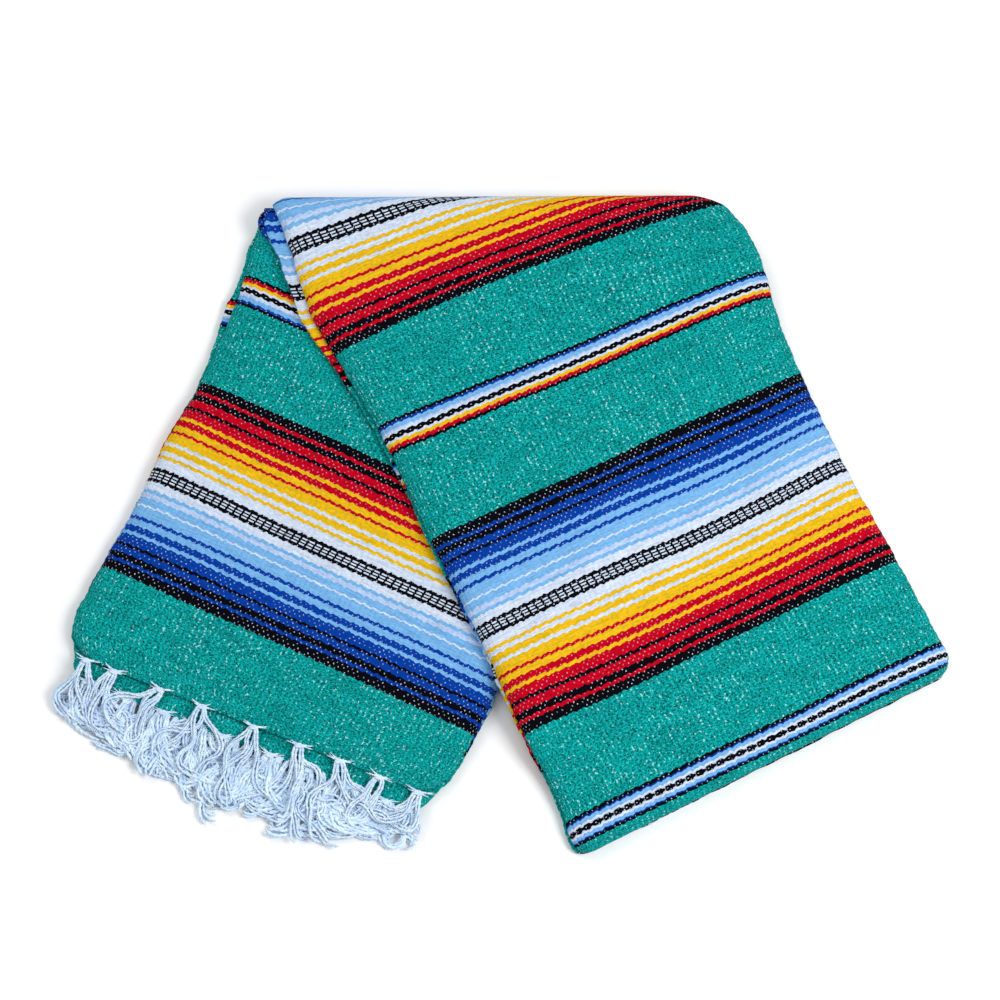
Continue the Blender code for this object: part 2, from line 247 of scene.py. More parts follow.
def leg_rim(leg):
    """Evenly spaced places around the leg's edge: down the left side, along the free end
    and up the right side. Each has its point, weave place, way out, way down and room."""
    side, start, finish = (profile_points(profile, RIM_POINTS)
                           for profile in (SIDE_ROLL, leg["start"], leg["finish"]))
    columns, rows = spread(side, 40, side), spread(start, 60, finish)
    face, weave, across, along = cloth_face(leg, columns, rows)
    count = len(face)
    middle = face[:, face.shape[1] // 2]
    slope = unit(np.gradient(middle, axis=0))
    inwards = -np.cross(slope, np.append(across[count // 2, 0], 0.0))
    inwards *= -np.sign(inwards[count // 2, 2])
    inwards[len(start):] = (0, 0, -1)
    in_end = np.arange(count) < len(start)

    def around(rows_of):
        return np.concatenate([rows_of[:, 0], rows_of[-1, 1:], rows_of[-2::-1, -1]])

    def by_row(values):
        return around(np.repeat(values[:, None], face.shape[1], axis=1))

    point, uv = around(face), around(weave)
    flat_step = np.linalg.norm(np.diff(point, axis=0), axis=1)
    path = np.concatenate([[0], np.cumsum(flat_step)])
    left_length, end_length = path[count - 1], path[count - 1 + face.shape[1] - 1] - path[count - 1]
    places = np.linspace(0, path[-1], round(path[-1] / MESH_STEP))

    def resampled(values):
        return np.stack([np.interp(places, path, values[:, k]) for k in range(values.shape[1])], -1)

    point, uv = resampled(point), resampled(uv)
    down, across, along = (resampled(by_row(v)) for v in (inwards, across[:, 0], along[:, 0]))
    ends = resampled(by_row(in_end.astype(float)[:, None]))[:, 0]
    tangent = np.gradient(point[:, :2], axis=0)
    for _ in range(4):
        tangent[1:-1] = (tangent[:-2] + tangent[1:-1] * 2 + tangent[2:]) / 4
    tangent = unit(tangent)
    out = np.stack([tangent[:, 1], -tangent[:, 0]], -1)
    # Around the ridge the edge runs down as well as along, so its way out is the leg's side.
    side_way = np.where((places < path[-1] / 2)[:, None], -across, across)
    out = unit(out * (1 - ends[:, None]) + side_way * ends[:, None])
    room = point[:, 2] - leg["under"](point[:, 0], point[:, 1])
    room = np.where(ends > 0.5, SIDE_ROOM, room)
    # How far the lower layers reach changes over a short way on each side of a corner.
    change, right_corner = 0.012, left_length + end_length
    peeks = [(d, reach) for d, reach in leg["peek"] if d < left_length - 0.03]
    peeks += [(left_length - change, peeks[-1][1]), (left_length + change, leg["step"]),
              (right_corner - change, leg["step"]),
              (right_corner + change, leg["right_peek"]), (path[-1], leg["right_peek"])]
    reach = np.interp(places, *zip(*peeks))
    return {"point": point, "uv": uv, "out": out, "down": down, "across": across, "along": along,
            "room": room, "reach": reach, "places": places}


RIDGE_CORNER, CORNER_LENGTH = 0.034, 0.012  # along the rim: where the corner is, how long
WEFT_RIDGES = 0.0067  # from one soft ridge of wefts to the next, along a folded edge
WANDER, RIDGE_RISE = 0.00022, 0.00025  # how far such an edge wanders, and its ridges stand out
UNDER_OUTER = (0.009, 0.005, 0.003)  # steps by which a fold comes out from under the outer layer


def folded_edges(name, leg, folds, material, seed):
    """Layers that show past the edge of the outer one, as rounded folds, one below the other.

    A fold is (share of the reach, extra reach, upper depth, lower depth, shift of the weave,
    slip at the corner by the ridge).
    """
    rim = leg["rim"]
    wander = random.Random(seed)
    scale = rim["room"] / SIDE_ROOM
    points, weaves = [], []
    at_corner = np.exp(-((rim["places"] - RIDGE_CORNER) / CORNER_LENGTH) ** 2)
    for share, extra, upper, lower, shift, slip in folds:
        waves = [(wander.uniform(0.02, 0.12), wander.uniform(0, 6.3)) for _ in range(4)]
        wobble = sum(WANDER * np.sin(rim["places"] * 2 * math.pi / w + p) for w, p in waves)
        wobble = wobble + RIDGE_RISE * np.sin(rim["uv"][:, 1] * 2 * math.pi / WEFT_RIDGES + seed)
        reach = rim["reach"] * share + extra + slip * at_corner + wobble
        radius = (lower - upper) / 2
        # Across a fold: flat below the outer layer, out to its reach, round, and back under.
        profile = [(-UNDER_OUTER[0], upper), (-UNDER_OUTER[1], upper)]
        profile += [(None, upper, k / 3) for k in range(3)]
        profile += [(radius * math.sin(a), upper + radius * (1 - math.cos(a)), 1.0)
                    for a in np.linspace(0.15, math.pi - 0.15, 7)]
        profile += [(-0.002, lower, 1.0), (-0.005, lower, 1.0)]
        for entry in profile:
            if len(entry) == 2:
                out, depth, outward = entry[0] + 0 * reach, entry[1], 0.0
            elif entry[0] is None:
                outward = entry[2]
                out = -UNDER_OUTER[2] + (reach - radius + UNDER_OUTER[2]) * outward
                depth = entry[1]
            else:
                out, depth, outward = reach - radius + entry[0], entry[1], 1.0
            steep = np.minimum(scale, 1 + (scale - 1) * outward) if depth == upper else scale
            deep = depth * steep
            point = np.column_stack([rim["point"][:, :2] + rim["out"] * out[:, None],
                                     rim["point"][:, 2]]) + rim["down"] * deep[:, None]
            turned = out + depth
            sideways = (rim["out"] * rim["across"]).sum(1) * turned
            endways = (rim["out"] * rim["along"]).sum(1) * turned
            points.append(point)
            weaves.append(np.column_stack([rim["uv"][:, 0] + sideways,
                                           rim["uv"][:, 1] + shift - leg["free_end"] * endways]))
    return laid_grid(name, np.array(points), np.array(weaves), material)


# The yarns' colours, as they look in daylight.
YARNS = {
    "black": (0.0030, 0.0030, 0.0055), "blue": (0.002, 0.052, 0.38), "light blue": (0.22, 0.51, 0.87),
    "white": (0.74, 0.81, 0.94), "lavender": (0.55, 0.68, 0.93), "yellow": (0.95, 0.55, 0.012),
    "red": (0.62, 0.001, 0.016),
}
# The wide band, from its blue side to its red side, as (yarn, number of wefts).
COOL_HALF = [
    ("black", 6), ("blue", 2), ("black", 4), ("blue", 4), ("black", 2), ("blue", 6),
    ("light blue", 2), ("blue", 4), ("light blue", 4), ("blue", 2), ("light blue", 6.4),
    ("white", 1.2), ("light blue", 4.4), ("lavender", 3), ("light blue", 2), ("white", 5), ("black", 9),
]
WARM_HALF = [
    ("white", 6), ("yellow", 2), ("white", 3), ("yellow", 4), ("white", 2), ("yellow", 6),
    ("red", 2), ("yellow", 4), ("red", 4), ("yellow", 2), ("red", 6), ("black", 2), ("red", 5),
    ("black", 4), ("red", 2), ("black", 6),
]
# The narrow band from its blue side, and half of the middle band from its centre, in mm.
NARROW_BAND = [
    ("black", 2.7), ("blue", 2.0), ("light blue", 3.8), ("lavender", 1.6), ("white", 8.0),
    ("yellow", 2.9), ("red", 3.0), ("black", 2.8),
]
MIDDLE_BAND = [("white", 4.1), ("light blue", 3.0), ("blue", 1.2), ("black", 3.0)]
WEFT = 0.00136  # from one weft to the next
WARP = 0.00425  # from one pair of warps to the next
WIDE_START = 0.0863  # from the middle of the serape to the first wide band
WIDE_LENGTH = 0.1727
NARROW_START, NARROW_END = 0.2497, 0.2765  # from the start of a wide band
REPEAT = 0.3517  # a wide band, a narrow band and two stretches of plain ground
WEFT_DRIFT = 0.0035  # how far the wefts wander lengthwise
WEFT_WAVES = (0.00030, 0.00046)  # rise of a weft at each pair of warps, and at every other pair
RAGGED_EDGE = 0.0011
LADDER = (127 - 62.5) * WEFT  # middle of the ladder, from the red side of a wide band
RUNG_STEP, RUNG_SHARE = 0.0062, 0.70  # from one rung to the next, and how much of it is white
RUNG_ROW, RUNG_HALF, RUNG_LEAN = 0.0025, 0.00062, 0.06
CHAIN = NARROW_END - 0.0141  # middle of the chain in the narrow band
CHAIN_LINK, CHAIN_HALF, CHAIN_SWELL, CHAIN_EYE = 0.0085, 0.0015, 0.0008, 0.00026
FLECK_ACROSS, FLECK_ALONG = 0.00105, 0.00125
DOT_ACROSS, DOT_ALONG = 0.00045, 0.00052  # half sizes of a white warp where it shows


class Nodes:
    """A new material, and its nodes: each call adds one, for one step of the reckoning."""

    def __init__(self, name):
        self.material = bpy.data.materials.new(name)
        self.material.use_nodes = True
        self.tree = self.material.node_tree

    def add(self, kind, **settings):
        node = self.tree.nodes.new(kind)
        for key, value in settings.items():
            setattr(node, key, value)
        return node

    def put(self, socket, value):
        if isinstance(value, bpy.types.NodeSocket):
            self.tree.links.new(value, socket)
        else:
            socket.default_value = value

    def reckon(self, operation, *values):
        node = self.add("ShaderNodeMath", operation=operation)
        for socket, value in zip(node.inputs, values):
            self.put(socket, value)
        return node.outputs[0]

    plus = partialmethod(reckon, "ADD")
    minus = partialmethod(reckon, "SUBTRACT")
    times = partialmethod(reckon, "MULTIPLY")
    over = partialmethod(reckon, "DIVIDE")
    below = partialmethod(reckon, "LESS_THAN")
    above = partialmethod(reckon, "GREATER_THAN")
    larger = partialmethod(reckon, "MAXIMUM")
    size = partialmethod(reckon, "ABSOLUTE")
    whole = partialmethod(reckon, "FLOOR")
    remainder = partialmethod(reckon, "FRACT")
    wrap = partialmethod(reckon, "WRAP")
    sine = partialmethod(reckon, "SINE")
    cosine = partialmethod(reckon, "COSINE")

    def mix(self, share, a, b, blend="MIX"):
        node = self.add("ShaderNodeMix", data_type="RGBA", blend_type=blend, clamp_factor=True)
        self.put(node.inputs[0], share)
        self.put(node.inputs[6], a if isinstance(a, bpy.types.NodeSocket) else (*a[:3], 1.0))
        self.put(node.inputs[7], b if isinstance(b, bpy.types.NodeSocket) else (*b[:3], 1.0))
        return node.outputs[2]

    def vector(self, x, y, z=0.0):
        node = self.add("ShaderNodeCombineXYZ")
        for socket, value in zip(node.inputs, (x, y, z)):
            self.put(socket, value)
        return node.outputs[0]

    def noise(self, vector, scale, detail=2.0, roughness=0.5):
        node = self.add("ShaderNodeTexNoise")
        self.put(node.inputs["Vector"], vector)
        node.inputs["Scale"].default_value = scale
        node.inputs["Detail"].default_value = detail
        node.inputs["Roughness"].default_value = roughness
        return node.outputs[0]

    def scatter(self, vector):
        node = self.add("ShaderNodeTexWhiteNoise", noise_dimensions="3D")
        self.put(node.inputs["Vector"], vector)
        return node.outputs["Value"]

    def finish(self, colour, height, strength, distance, **settings):
        """The material, with this colour, this relief, and what is the same all over."""
        bump = self.add("ShaderNodeBump")
        bump.inputs["Strength"].default_value = strength
        bump.inputs["Distance"].default_value = distance
        self.put(bump.inputs["Height"], height)
        shader = self.tree.nodes["Principled BSDF"]
        self.put(shader.inputs["Base Color"], colour)
        self.put(shader.inputs["Normal"], bump.outputs[0])
        for socket, value in settings.items():
            shader.inputs[socket].default_value = value
        return self.material

    def bands(self, share, stripes):
        """Hard-edged stripes, each as wide as its number says."""
        node = self.add("ShaderNodeValToRGB")
        ramp = node.color_ramp
        ramp.interpolation = "CONSTANT"
        total, start = sum(width for _, width in stripes), 0.0
        for k, (yarn, width) in enumerate(stripes):
            stop = ramp.elements[0] if k == 0 else ramp.elements.new(start / total)
            stop.position = start / total
            stop.color = (*YARNS[yarn], 1.0)
            start += width
        last = ramp.elements[-1]
        last.color = (*YARNS[stripes[-1][0]], 1.0)
        self.put(node.inputs[0], share)
        return node.outputs[0]

    def smooth_ramp(self, share, stops):
        node = self.add("ShaderNodeValToRGB")
        for k, (place, colour) in enumerate(stops):
            stop = node.color_ramp.elements[k] if k < 2 else node.color_ramp.elements.new(place)
            stop.position, stop.color = place, (*colour, 1.0)
        self.put(node.inputs[0], share)
        return node.outputs[0]


def woven_wool():
    """Weft-faced wool and cotton: banded yarns, wavy where they cross the warps."""
    n = Nodes("woven_wool")
    uv = n.add("ShaderNodeUVMap", uv_map="weave").outputs[0]
    parts = n.add("ShaderNodeSeparateXYZ")
    n.put(parts.inputs[0], uv)
    u, v = parts.outputs[0], parts.outputs[1]

    def weave_place(across_scale, along_scale):
        return n.vector(n.times(u, across_scale), n.times(v, along_scale))

    def darkened(colour, by, low, dark, high, strength=1.0):
        shade = n.smooth_ramp(by, [(low, dark), (high, (1.0, 1.0, 1.0))])
        return n.mix(strength, colour, shade, "MULTIPLY")

    # Each weft passes over one pair of warps and under the next, so every band's edge waves.
    drift = n.times(n.minus(n.noise(n.vector(u, v), 9.0, 1.0), 0.5), WEFT_DRIFT)
    ragged = n.minus(n.noise(weave_place(330.0, 200.0), 1.0, 1.0), 0.5)
    across = n.times(n.plus(u, n.times(drift, 0.25)), math.pi / WARP)
    wave = n.plus(n.times(n.sine(n.times(across, 2.0)), WEFT_WAVES[0]),
                  n.times(n.sine(across), WEFT_WAVES[1]))
    calm_place = n.size(n.plus(v, drift))
    place = n.plus(calm_place, n.plus(wave, n.times(ragged, RAGGED_EDGE)))

    # Which band the place is in.
    cycle = n.wrap(n.minus(place, WIDE_START), REPEAT, 0.0)
    wefts = n.over(n.minus(WIDE_LENGTH, cycle), WEFT)
    cool_count, warm_count = (sum(w for _, w in half) for half in (COOL_HALF, WARM_HALF))
    cool = n.bands(n.over(wefts, cool_count), COOL_HALF)
    warm = n.bands(n.over(n.minus(wefts, cool_count), warm_count), WARM_HALF)
    wide = n.mix(n.above(wefts, cool_count), cool, warm)
    narrow_share = n.over(n.minus(NARROW_END, cycle), NARROW_END - NARROW_START)
    narrow = n.bands(narrow_share, NARROW_BAND)
    half_middle = sum(w for _, w in MIDDLE_BAND) / 1000
    middle = n.bands(n.over(place, half_middle), MIDDLE_BAND)

    # The ladder is three rows of white dashes on black, and each chain black links on white.
    def dashes(aside, offset):
        phase = n.remainder(n.plus(n.over(u, RUNG_STEP), offset))
        return n.times(n.below(phase, RUNG_SHARE), n.below(n.size(aside), RUNG_HALF))

    calm_cycle = n.wrap(n.minus(calm_place, WIDE_START), REPEAT, 0.0)
    from_ladder = n.minus(calm_cycle, LADDER)
    for line in (-1, 0, 1):
        rungs = dashes(n.minus(from_ladder, line * RUNG_ROW), line * RUNG_LEAN)
        wide = n.mix(rungs, wide, YARNS["white"])

    def chain(aside):
        link = n.size(n.sine(n.over(n.times(u, math.pi), CHAIN_LINK)))
        half = n.plus(CHAIN_HALF, n.times(link, CHAIN_SWELL))
        aside = n.size(aside)
        eye = n.times(n.below(aside, CHAIN_EYE), n.above(link, 0.985))
        return n.times(n.below(aside, half), n.minus(1.0, eye))

    narrow = n.mix(chain(n.minus(cycle, CHAIN)), narrow, YARNS["black"])
    middle = n.mix(chain(place), middle, YARNS["black"])

    # The teal ground is a blended yarn, flecked with pale, dark and a few bright fibres.
    cell_u = n.whole(n.over(n.plus(u, n.times(ragged, 0.0012)), FLECK_ACROSS))
    cell_v = n.whole(n.over(n.plus(v, wave), FLECK_ALONG))
    fleck = n.scatter(n.vector(cell_u, cell_v, 3.0))
    mottle = n.noise(weave_place(560.0, 820.0), 1.0, 2.0, 0.6)
    ground = n.smooth_ramp(mottle, [(0.31, (0.0005, 0.110, 0.118)), (0.69, (0.008, 0.720, 0.675)),
                                    (0.50, (0.001, 0.400, 0.378))])
    # Painted shade: over the warps the ground is lighter and between them darker, in columns down the
    # cloth, where the wefts dip between the warps.
    rib = n.plus(n.times(n.cosine(n.times(across, 2.0)), 0.5), 0.5)
    ground = darkened(ground, rib, 0.0, (0.72, 0.74, 0.74), 0.85)
    columns = n.times(n.minus(rib, 0.5), 0.09)
    patches = n.times(n.minus(n.noise(n.vector(u, v), 14.0, 2.0), 0.5), 0.16)
    streaks = n.noise(weave_place(26.0, 95.0), 1.0, 2.0, 0.6)
    ground = darkened(ground, streaks, 0.34, (0.78, 0.80, 0.80), 0.62)
    # One fleck in thirty is pale teal or white, one in ten dark, and a rare one bright green.
    level = n.plus(n.minus(0.966, columns), patches)
    ground = n.mix(n.times(n.above(fleck, level), 0.65), ground, (0.16, 0.78, 0.78))
    ground = n.mix(n.times(n.above(fleck, n.plus(level, 0.026)), 0.55), ground, (0.72, 0.92, 0.95))
    ground = n.mix(n.times(n.below(fleck, 0.10), 0.75), ground, (0.0, 0.050, 0.055))
    green = n.above(n.scatter(n.vector(cell_v, cell_u, 8.0)), 0.9985)
    ground = n.mix(green, ground, (0.02, 0.72, 0.30))

    in_wide = n.below(cycle, WIDE_LENGTH)
    in_narrow = n.times(n.above(cycle, NARROW_START), n.below(cycle, NARROW_END))
    past_middle = n.above(place, WIDE_START - WEFT)
    banded = n.mix(n.times(in_wide, past_middle), ground, wide)
    banded = n.mix(n.times(in_narrow, past_middle), banded, narrow)
    banded = n.mix(n.below(place, half_middle), banded, middle)

    # White warps show as staggered dots between the wefts.
    row = n.whole(n.over(place, 2 * WEFT))
    stagger = n.times(n.wrap(row, 2.0, 0.0), 0.5)
    dot_u = n.plus(n.over(across, math.pi), stagger)
    from_u = n.times(n.minus(n.remainder(dot_u), 0.5), WARP / DOT_ACROSS)
    from_v = n.times(n.minus(n.remainder(n.over(place, 2 * WEFT)), 0.5), 2 * WEFT / DOT_ALONG)
    off = n.plus(n.times(from_u, from_u), n.times(from_v, from_v))
    present = n.scatter(n.vector(n.whole(dot_u), row, 5.0))
    dot = n.times(n.below(off, 1.0), n.above(present, 0.22))
    in_band = n.larger(n.larger(in_wide, in_narrow), n.below(place, half_middle))
    # They stand out between dark wefts, and hardly between pale ones.
    lightness = n.add("ShaderNodeRGBToBW")
    n.put(lightness.inputs[0], banded)
    contrast = n.larger(n.minus(0.95, n.times(lightness.outputs[0], 3.0)), 0.0)
    strength = n.plus(n.times(in_band, contrast), n.times(n.minus(1.0, in_band), 0.46))
    dot = n.times(dot, n.times(present, strength))
    off_chain = n.above(n.size(n.minus(cycle, CHAIN)), CHAIN_HALF + 0.0007)
    dot = n.times(dot, off_chain)
    banded = n.mix(dot, banded, n.mix(in_band, (0.22, 0.74, 0.74), (0.78, 0.84, 0.95)))

    # Yarn by yarn, the dye is a little lighter or darker.
    yarn = n.noise(weave_place(60.0, 740.0), 1.0, 2.0)
    banded = darkened(banded, yarn, 0.30, (0.74, 0.74, 0.76), 0.70)
    # Where a weft rises over its warps, each short float catches the light in its own way.
    float_u = n.whole(n.plus(n.over(across, math.pi / 2), n.times(row, 0.5)))
    floats = n.scatter(n.vector(float_u, n.whole(n.over(place, WEFT)), 2.0))
    banded = darkened(banded, floats, 0.0, (0.77, 0.86, 0.92), 0.75, in_band)

    # Plain weave in relief: wefts rise over every other pair of warps, with fine fibres.
    ribs = n.sine(n.over(n.times(place, math.pi), WEFT))
    relief = n.times(ribs, n.cosine(across))
    fibres = n.noise(weave_place(900.0, 2300.0), 1.0, 3.0, 0.6)
    warp_ribs = n.times(n.size(n.sine(across)), 0.30)
    relief = n.plus(n.times(relief, 0.34), n.times(fibres, 0.75))
    relief = n.plus(relief, warp_ribs)
    return n.finish(banded, relief, strength=0.75, distance=0.0009, **{
        "Roughness": 0.92, "Specular IOR Level": 0.03, "Sheen Weight": 0.01, "Sheen Roughness": 0.45})


wool = woven_wool()


def left_top(x, y):
    return LEG_THICKNESS + 0 * x


def on_surface(x, y):
    return 0 * x


left_leg = {
    "left": smooth_edge(LEFT_LEG_LEFT_EDGE), "right": smooth_edge(LEFT_LEG_RIGHT_EDGE),
    "corners": (0.004, 0.016),  # radii seen from above, at the covered end and at the free end
    "start": COVERED_END, "start_points": 6,
    "finish": HEM_EDGE, "finish_under": HEM_UNDER, "finish_points": 18,
    "total": (LEG_THICKNESS, LEG_THICKNESS), "top": left_top, "under": on_surface,
    # How far the lower layers show past the outer one: distance from the ridge, reach.
    "peek": [(0.00, 0.002), (0.06, 0.003), (0.09, 0.008), (0.13, 0.003), (0.20, 0.0015)],
    "right_peek": 0.0012, "step": HEM_STEP, "free_end": -1,
    # Wefts of the outer layer: place on the serape, height where x is 0, slope in degrees, bend.
    "wefts": [(0.7005, 0.088, -25.6, 0.0), (0.790, -0.0041, -25.6, 0.0), (0.963, -0.1868, -25.3, 0.0),
              (1.038, -0.2500, -22.8, 0.0)],
    # Soft creases: from, to, half-width, rise.
    "creases": [
        (-0.20, 0.16, -0.06, -0.06, 0.030, 0.0010), (-0.29, -0.02, -0.16, -0.13, 0.022, -0.0008),
        (-0.17, 0.02, -0.05, -0.17, 0.016, 0.0009), (-0.10, -0.10, -0.04, -0.20, 0.013, -0.0009),
        (-0.24, 0.06, -0.13, 0.05, 0.018, -0.0006),
    ],
}
left_leg["rim"] = leg_rim(left_leg)
left_lower = folded_edges(
    "left_leg_lower_folds", left_leg,
    [(0.93, -0.0006, 0.0047, 0.0064, 0.012, 0.0), (1.0, -0.0016, 0.0065, 0.0082, 0.055, 0.0)], wool, 3)
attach(left_lower, "root")
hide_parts("left_leg_hidden_layers")

# ==== the left leg's second layer, with the lower hems ==================================
# The next layer down shows as a thin folded edge at the side, and reaches past the upper
# hems at the fringed end, because the outer half of the serape is folded a little longer.
left_second = folded_edges(
    "left_leg_second_fold", left_leg, [(1.0, 0.0, 0.0019, 0.0046, -0.020, 0.0)], wool, 5)
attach(left_second, "root")
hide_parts("left_leg_second_layer")

# ==== the left leg's outer layer =========================================================
# The layer that shows, smoothed flat over the folded stack, with its sides rolled over the
# layers below and its hem lying on the lower one.
points, weave = leg_top(left_leg)
left_outer = laid_grid("left_leg_outer_cloth", points, weave, wool)
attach(left_outer, "root")
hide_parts("left_leg_outer_layer")

# ==== the lower fringe =====================================================================
# The lower hems' own warp ends: two-ply white cotton, knotted along the hem in bundles and
# left loose. It lies tangled on the surface, in wavy locks.
FRINGE = 0.080
STRAND = 0.00118  # radius of one two-ply strand
PLY_TURN = 0.0085  # length of one turn of the two plies
THREAD_STEP = 0.0014
HEM_LEFT, HEM_RIGHT = Vector(LEFT_LEG_LEFT_EDGE[-1]), Vector(LEFT_LEG_RIGHT_EDGE[-1])
HEM_WAY = (HEM_RIGHT - HEM_LEFT).normalized()
HEM_OUT = Vector((HEM_WAY.y, -HEM_WAY.x))
OUT_HEADING = math.atan2(-HEM_OUT.x, -HEM_OUT.y)
# Reach past the upper hem, along the hem: share of the hem, share of FRINGE.
FRINGE_REACH = [(-0.12, 0.10), (-0.04, 0.30), (0.0, 0.40), (0.15, 0.42), (0.28, 0.58), (0.38, 0.62),
                (0.50, 0.72), (0.58, 0.60), (0.71, 0.70), (0.77, 0.46), (0.84, 0.34), (0.94, 0.30),
                (1.0, 0.26)]
# Heights between which a row of fringe lies: distance past the upper hem, lowest, highest.
LOWER_LIE = [(0.0, 0.0102, 0.0110), (0.0155, 0.0092, 0.0108), (0.0200, 0.0030, 0.0092),
             (0.030, 0.0012, 0.0074), (0.045, 0.0012, 0.0062), (0.085, 0.0012, 0.0034)]
# Where the knots are along the hem, from its left end.
LOWER_KNOTS = [0.016, 0.046, 0.079, 0.104, 0.128, 0.166, 0.197, 0.230, 0.259, 0.278]
# Which way the bundles point, from the left end of the hem to the right: share, angle.
HEADINGS = [(0.0, 0.42), (0.2, 0.50), (0.5, 0.28), (0.8, 0.15), (1.0, 0.22)]
KNOT_HALF, KNOT_HEIGHT, BINDING = 0.0029, 0.0014, 0.0022  # a knot, and how far its cord winds along it
LOCK_RADIUS = 0.00120
LOOSE_STRANDS, LOOSE_THICKNESS = 4, 1.2


def cotton_thread():
    """White two-ply cotton, a little fuzzy, its blue tint partly painted shade, and bluer in some
    places than in others.
    """
    n = Nodes("cotton_thread")
    where = n.add("ShaderNodeTexCoord").outputs["Object"]
    # Painted shade: part of the blue in these tones stands for the shade that the white cotton lies in.
    tint_with_painted_shade = n.smooth_ramp(n.noise(where, 160.0, 2.0),
                         [(0.35, (0.58, 0.75, 0.98)), (0.65, (0.74, 0.89, 1.0))])
    fuzz = n.noise(where, 2600.0, 3.0, 0.6)
    return n.finish(tint_with_painted_shade, fuzz, strength=0.4, distance=0.0003, **{
        "Roughness": 0.88, "Specular IOR Level": 0.15, "Sheen Weight": 0.15})


cotton = cotton_thread()


def threads(name, routes):
    """Twisted two-ply threads along routes of (place, thickness), joined as one mesh."""
    plies = bpy.data.curves.new("two_plies", "CURVE")
    plies.dimensions = "2D"
    outline = plies.splines.new("POLY")
    outline.points.add(5)  # and its first one: six round a strand, two of them further out
    outline.use_cyclic_u = True
    for k, point in enumerate(outline.points):
        turn = 2 * math.pi * k / 6
        reach = STRAND * (1.0 if k % 3 == 0 else 0.70)
        point.co = (reach * math.cos(turn), reach * math.sin(turn), 0, 1)
    section = in_scene("two_plies", plies)
    curve = bpy.data.curves.new(name, "CURVE")
    curve.dimensions = "3D"
    curve.bevel_mode = "OBJECT"
    curve.bevel_object = section
    curve.use_fill_caps = True
    curve.twist_mode = "MINIMUM"
    for route in routes:
        spline = curve.splines.new("POLY")
        spline.points.add(len(route) - 1)
        run = 0.0
        for k, (place, thickness) in enumerate(route):
            if k:
                run += (Vector(place) - Vector(route[k - 1][0])).length
            spline.points[k].co = (*place, 1)
            spline.points[k].radius = thickness
            spline.points[k].tilt = run * 2 * math.pi / PLY_TURN
    shape = in_scene(name + "_shape", curve)
    bpy.context.view_layer.update()
    evaluated = shape.evaluated_get(bpy.context.evaluated_depsgraph_get())
    mesh = bpy.data.meshes.new_from_object(evaluated)
    bpy.data.objects.remove(shape, do_unlink=True)
    bpy.data.objects.remove(section, do_unlink=True)
    mesh.name = name
    mesh.materials.clear()
    mesh.materials.append(cotton)
    mesh.shade_smooth()
    return in_scene(name, mesh)


def lock_line(wander, start, heading, length, lie, side):
    """The line of one wavy lock: it comes down from its knot, and turns along the hem where
    it would reach past the tips of the fringe."""
    x, y, z = start
    layer = wander.uniform(0.0, 1.0)
    waves = [(wander.uniform(0.030, 0.060), wander.uniform(0, 6.3), wander.uniform(30, 100)),
             (wander.uniform(0.014, 0.026), wander.uniform(0, 6.3), wander.uniform(10, 75))]
    distances, lowest, highest = zip(*lie)
    wish, own_reach = wander.uniform(0.9, 2.0), wander.uniform(0.76, 1.16)
    line, count = [], round(length / THREAD_STEP)
    for k in range(count + 1):
        line.append(Vector((x, y, z)))
        run = k * THREAD_STEP
        from_corner = Vector((x, y)) - HEM_LEFT
        past = from_corner.dot(HEM_OUT)
        share = from_corner.dot(HEM_WAY) / (HEM_RIGHT - HEM_LEFT).length
        limit = FRINGE * own_reach * float(np.interp(share, *zip(*FRINGE_REACH)))
        # 0 well inside the tips of the fringe, 1 at them, and more beyond them or its ends.
        near = min(max((past - limit * 0.60) / (limit * 0.40), 0.0), 2.2)
        near += 25 * max(-share, share - 1.0, 0.0)
        turn = sum(rate * math.sin(run * 2 * math.pi / wave + begin) for wave, begin, rate in waves)
        turn *= min(1.0, run / 0.010)  # it leaves its knot straight
        if not 0.0 < share < 1.0:
            side = -1 if share < 0.5 else 1
        away = min(wish + max(near - 0.9, 0.0), 2.0)
        turn += min(near, 1.5) * 60 * (OUT_HEADING + side * away - heading)
        heading += turn * THREAD_STEP
        x -= math.sin(heading) * THREAD_STEP
        y -= math.cos(heading) * THREAD_STEP
        low, high = np.interp(past, distances, lowest), np.interp(past, distances, highest)
        aim = low + (high - low) * layer + 0.0005 * math.sin(run * 160 + layer * 20)
        z += (float(aim) - z) * 0.22
        z = max(z, float(low))
    return line


def lock(wander, start, heading, length, lie, side, strands, full=1.0):
    """Strands that wind around one line like a rope, and part and thin out at their tips."""
    line = lock_line(wander, start, heading, length, lie, side)
    routes = []
    for k in range(strands):
        own = 2 * math.pi * k / strands + wander.uniform(-0.3, 0.3)
        roll = wander.uniform(60, 95)
        end = wander.uniform(0.84, 1.0)
        part = wander.uniform(0.2, 2.6)
        size = wander.uniform(0.94, 1.14) * full
        count = max(8, round((len(line) - 1) * end))
        route = []
        for j in range(count):
            share = j / count
            way = (line[min(j + 1, len(line) - 1)] - line[max(j - 1, 0)]).normalized()
            aside = Vector((-way.y, way.x, 0.0))
            turn = own + roll * j * THREAD_STEP
            reach = LOCK_RADIUS * full * (1 + part * share**4) * min(1.0, 0.6 + share * 4)
            lift = Vector((0, 0, reach * 0.7 * math.sin(turn)))
            place = line[j] + aside * (reach * 1.15 * math.cos(turn)) + lift
            place.z = max(place.z, STRAND * 0.9)
            route.append((place, size * min(1.0, (1 - share) * 9 + 0.40)))
        routes.append(route)
    return routes


